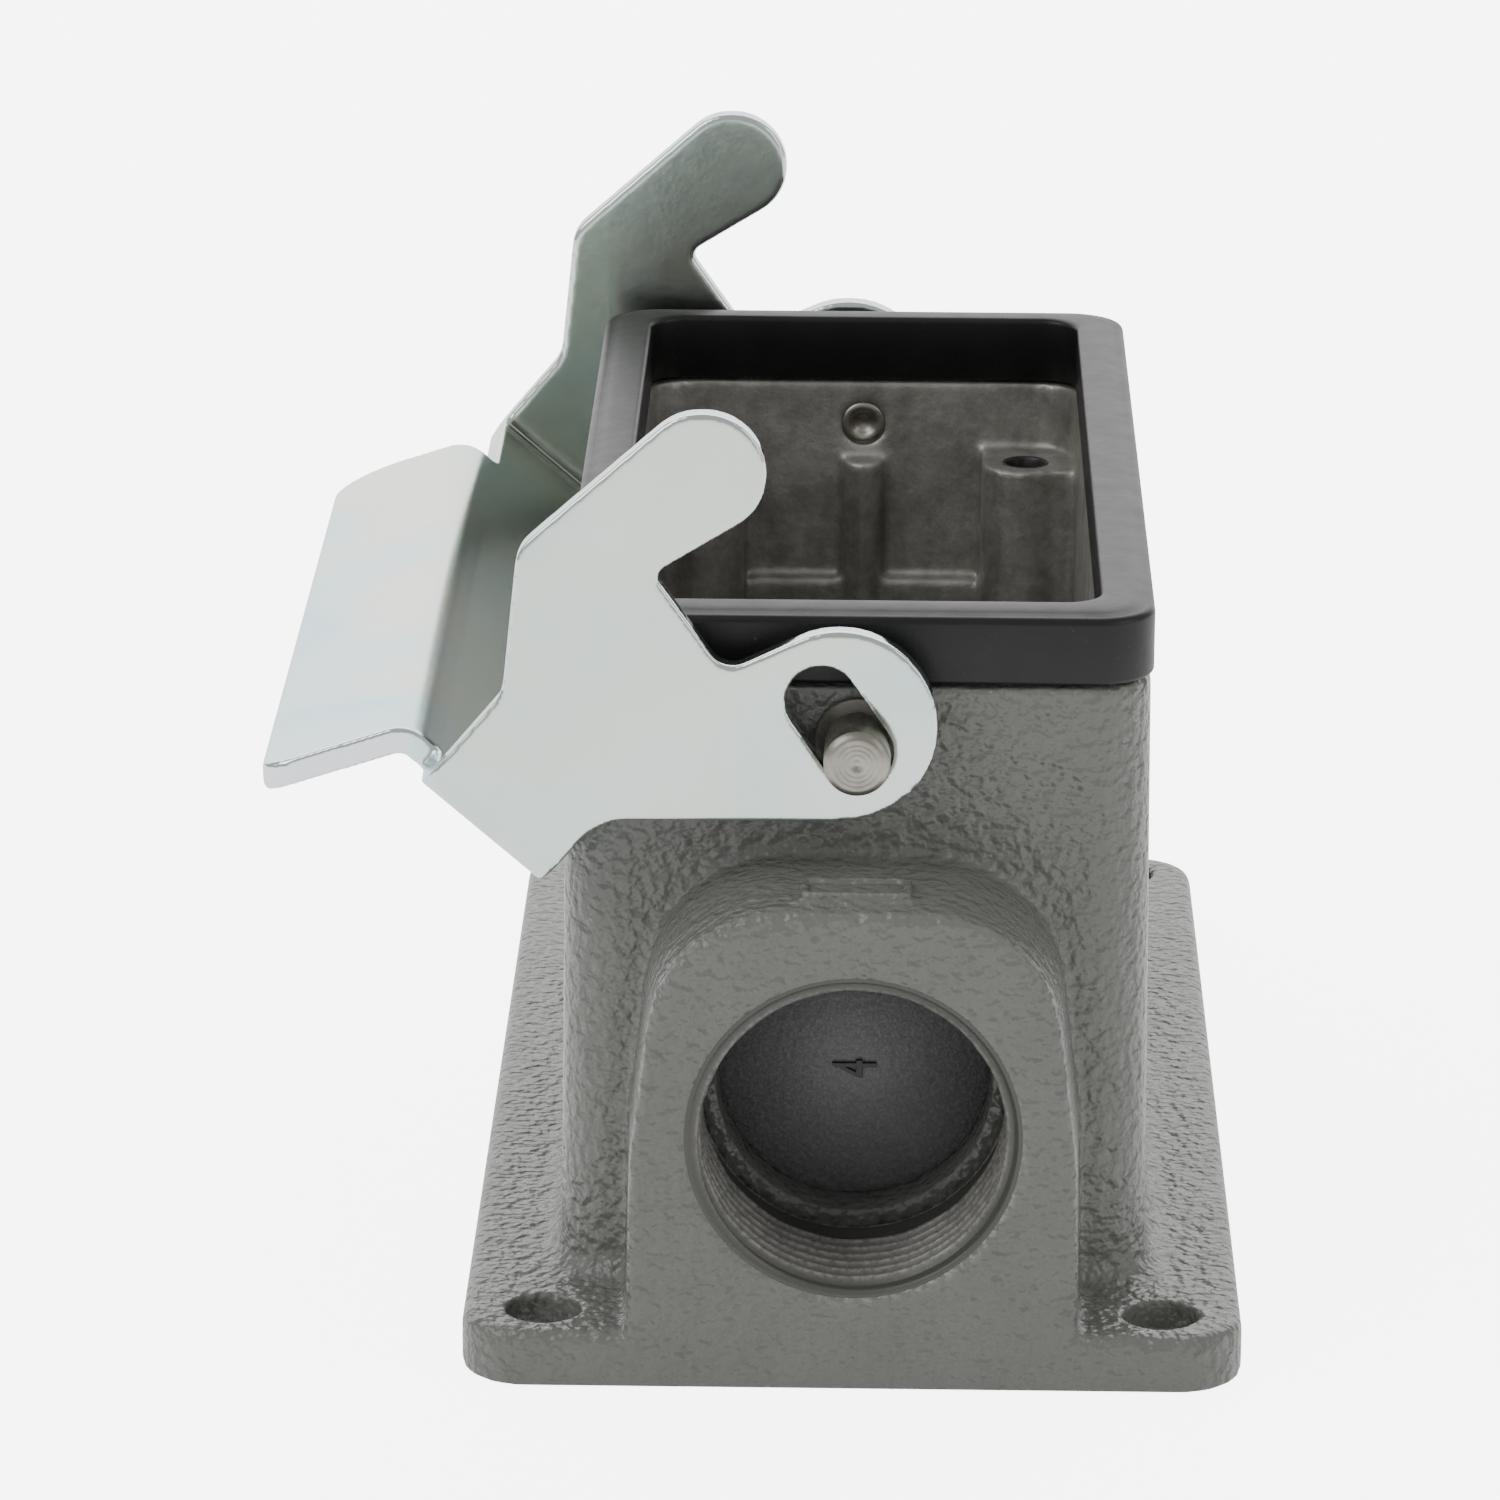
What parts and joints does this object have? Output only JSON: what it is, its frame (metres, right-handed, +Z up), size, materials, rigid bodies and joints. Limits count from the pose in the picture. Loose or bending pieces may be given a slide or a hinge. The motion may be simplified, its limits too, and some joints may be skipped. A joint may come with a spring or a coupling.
{
  "type": "surface-mount connector base housing with locking lever",
  "caption": "Cast surface-mount base housing for a rectangular connector, with a side cable entry, rubber rim seal and a sheet-steel locking lever on two pivot pins.",
  "frame": {"origin": "centre of the base's underside, on the mounting surface", "axes": "+Z up out of the mounting surface, +Y along the length away from the cable entry, +X to the right seen from the cable entry, the handle being on -X"},
  "size_m": [0.0718, 0.115, 0.0711],
  "materials": {
    "housing_coat": "matte",
    "seal_rubber": "matte",
    "pin_steel": "satin",
    "lever_steel": "satin",
    "disc_plastic": "matte"
  },
  "bodies": {
    "housing_body": {"housing": "housing_coat", "rim_seal": "seal_rubber", "front_pivot_pin": "pin_steel", "rear_pivot_pin": "pin_steel", "entry_blanking_disc": "disc_plastic"},
    "lever": {"locking_lever": "lever_steel"}
  },
  "joints": [
    {"name": "lever_swing", "type": "hinge", "parent": "housing_body", "child": "lever", "pos_m": [0, 0.0008, 0.0462], "axis": [0, 1, 0], "range_deg": [0, 152]}
  ]
}
